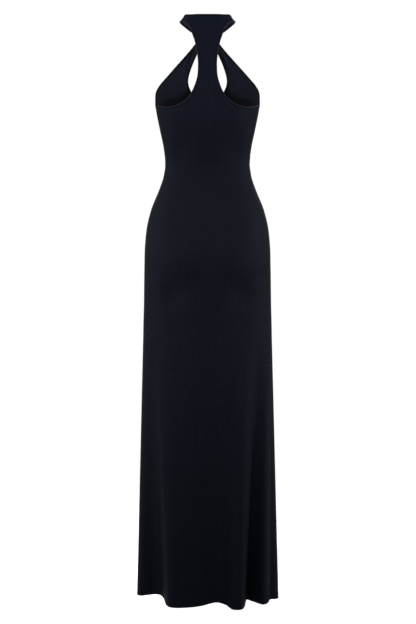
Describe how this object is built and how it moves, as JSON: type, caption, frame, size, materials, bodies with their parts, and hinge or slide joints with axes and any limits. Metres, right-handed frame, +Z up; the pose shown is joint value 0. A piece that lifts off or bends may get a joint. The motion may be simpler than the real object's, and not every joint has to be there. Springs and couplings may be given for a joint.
{
  "type": "maxi dress",
  "caption": "Sleeveless full-length dress with a racer back, a halter front crossing at the throat over a keyhole, a fitted body and a softly folded skirt, hollow and open at neck, armholes and hem",
  "frame": {"origin": "Centre of the neck opening, which holds the dress up on its wearer. The hem is about 1.50 m below it.", "axes": "+Z up, along the dress. -Y is the wearer's front and +Y the wearer's back. +X is the wearer's left."},
  "size_m": [0.3711, 0.2964, 1.5204],
  "materials": {
    "jersey": "matt stretch jersey, near-black navy, smooth face",
    "jersey_binding": "the same jersey, folded into a narrow rounded edge"
  },
  "bodies": {
    "root": {"back": "jersey", "front": "jersey", "armhole_binding_left": "jersey_binding", "armhole_binding_right": "jersey_binding", "keyhole_binding": "jersey_binding", "nape_binding": "jersey_binding"}
  },
  "joints": []
}
